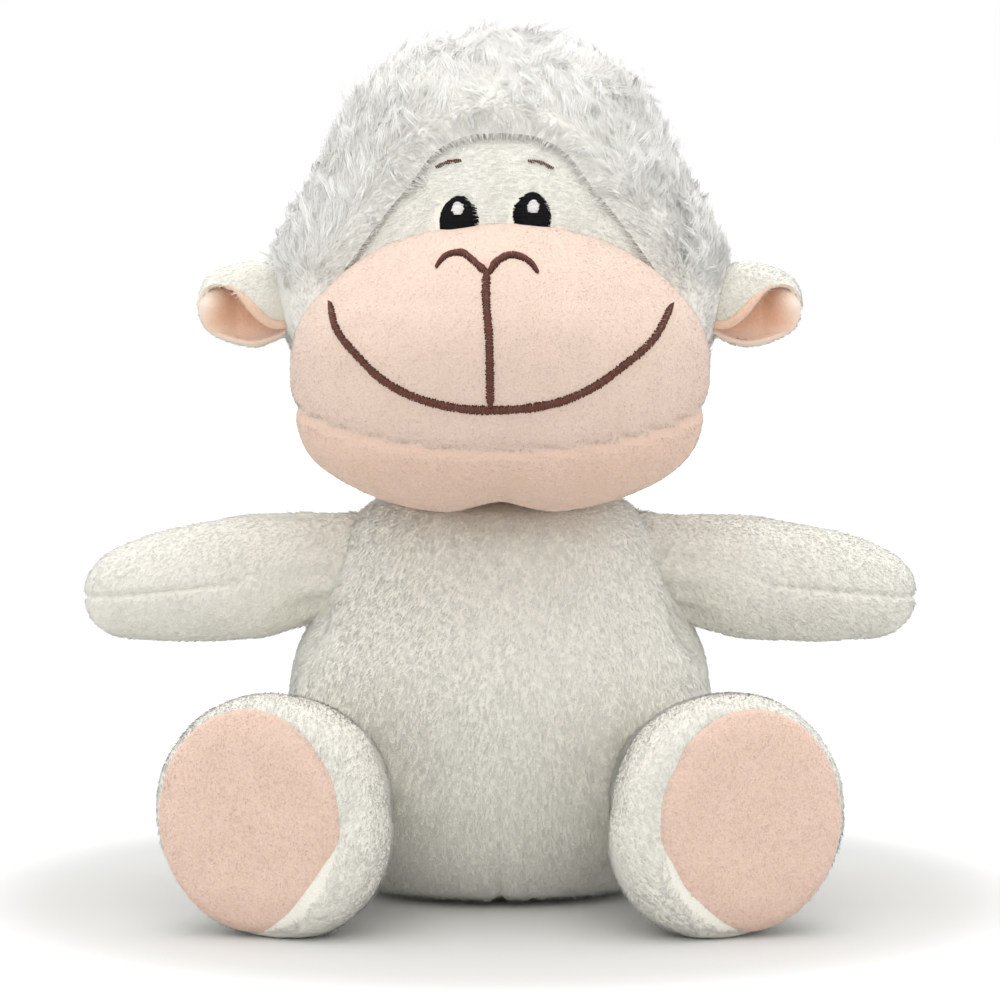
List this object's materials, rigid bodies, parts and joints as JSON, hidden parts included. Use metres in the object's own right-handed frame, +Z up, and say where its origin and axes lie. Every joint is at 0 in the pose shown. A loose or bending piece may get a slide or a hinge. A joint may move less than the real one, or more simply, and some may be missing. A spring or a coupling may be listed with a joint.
{
  "type": "plush sheep",
  "caption": "Seated plush sheep with a fluffy wool cap, a puffed peach muzzle with an embroidered smile, folded ears, arms held out and splayed legs with peach soles.",
  "frame": {"origin": "on the floor, under the middle of the whole seated toy", "axes": "+Z up through the head, -Y the way the face looks, +X towards the viewer's right as the toy faces the viewer"},
  "size_m": [0.1926, 0.1342, 0.1988],
  "materials": {
    "white_pile": "matte",
    "wool": "matte",
    "peach_pile": "matte",
    "chin_pile": "matte",
    "sole_pile": "matte",
    "ear_pile": "matte",
    "brown_thread": "satin",
    "black_thread": "satin",
    "white_thread": "satin",
    "fibrefill": "matte"
  },
  "bodies": {
    "torso": {"torso_cover_left": "white_pile", "torso_cover_right": "white_pile", "torso_stuffing": "fibrefill"},
    "head": {"wool_cap": "wool", "face_panel": "white_pile", "muzzle_panel": "peach_pile", "chin_panel": "chin_pile", "head_stuffing": "fibrefill", "eye_left": "black_thread", "eye_right": "black_thread", "eye_glint_left": "white_thread", "eye_glint_right": "white_thread", "brow_left": "brown_thread", "brow_right": "brown_thread", "smile_stitching": "brown_thread", "nostril_stitching": "brown_thread", "lip_stitching": "brown_thread"},
    "ear_left": {"ear_left_outer": "white_pile", "ear_left_lining": "ear_pile"},
    "ear_right": {"ear_right_outer": "white_pile", "ear_right_lining": "ear_pile"},
    "arm_left": {"arm_cover_left": "white_pile", "arm_stuffing_left": "fibrefill"},
    "arm_right": {"arm_cover_right": "white_pile", "arm_stuffing_right": "fibrefill"},
    "leg_left": {"leg_cover_left": "white_pile", "leg_stuffing_left": "fibrefill", "sole_left": "sole_pile"},
    "leg_right": {"leg_cover_right": "white_pile", "leg_stuffing_right": "fibrefill", "sole_right": "sole_pile"}
  },
  "joints": [
    {"name": "head_nod", "type": "hinge", "parent": "torso", "child": "head", "pos_m": [0, 0.01114, 0.0926], "axis": [1, 0, 0], "range_deg": [-10, 10], "stiffness_Nm_per_rad": 0.5, "springref_deg": -0.11},
    {"name": "ear_flap_left", "type": "hinge", "parent": "head", "child": "ear_left", "pos_m": [-0.04682, 0.01614, 0.135], "axis": [0, 1, 0], "range_deg": [-20, 20], "stiffness_Nm_per_rad": 0.006, "springref_deg": 0.17},
    {"name": "ear_flap_right", "type": "hinge", "parent": "head", "child": "ear_right", "pos_m": [0.04682, 0.01614, 0.135], "axis": [0, -1, 0], "range_deg": [-20, 20], "stiffness_Nm_per_rad": 0.006, "springref_deg": 0.17},
    {"name": "arm_swing_left", "type": "hinge", "parent": "torso", "child": "arm_left", "pos_m": [-0.04001, 0.01114, 0.07408], "axis": [0, 1, 0], "range_deg": [-30, 35], "stiffness_Nm_per_rad": 0.06, "springref_deg": 0.52, "deforming": ["arm_cover_left"]},
    {"name": "arm_swing_right", "type": "hinge", "parent": "torso", "child": "arm_right", "pos_m": [0.04001, 0.01114, 0.07408], "axis": [0, -1, 0], "range_deg": [-30, 35], "stiffness_Nm_per_rad": 0.06, "springref_deg": 0.52, "deforming": ["arm_cover_right"]},
    {"name": "leg_lift_left", "type": "hinge", "parent": "torso", "child": "leg_left", "pos_m": [-0.03903, -0.01482, 0.0268], "axis": [-0.9511, 0.309, 0], "range_deg": [-35, 35], "stiffness_Nm_per_rad": 0.15, "springref_deg": 0.7, "deforming": ["leg_cover_left"]},
    {"name": "leg_lift_right", "type": "hinge", "parent": "torso", "child": "leg_right", "pos_m": [0.03903, -0.01482, 0.0268], "axis": [-0.9511, -0.309, 0], "range_deg": [-35, 35], "stiffness_Nm_per_rad": 0.15, "springref_deg": 0.7, "deforming": ["leg_cover_right"]}
  ]
}
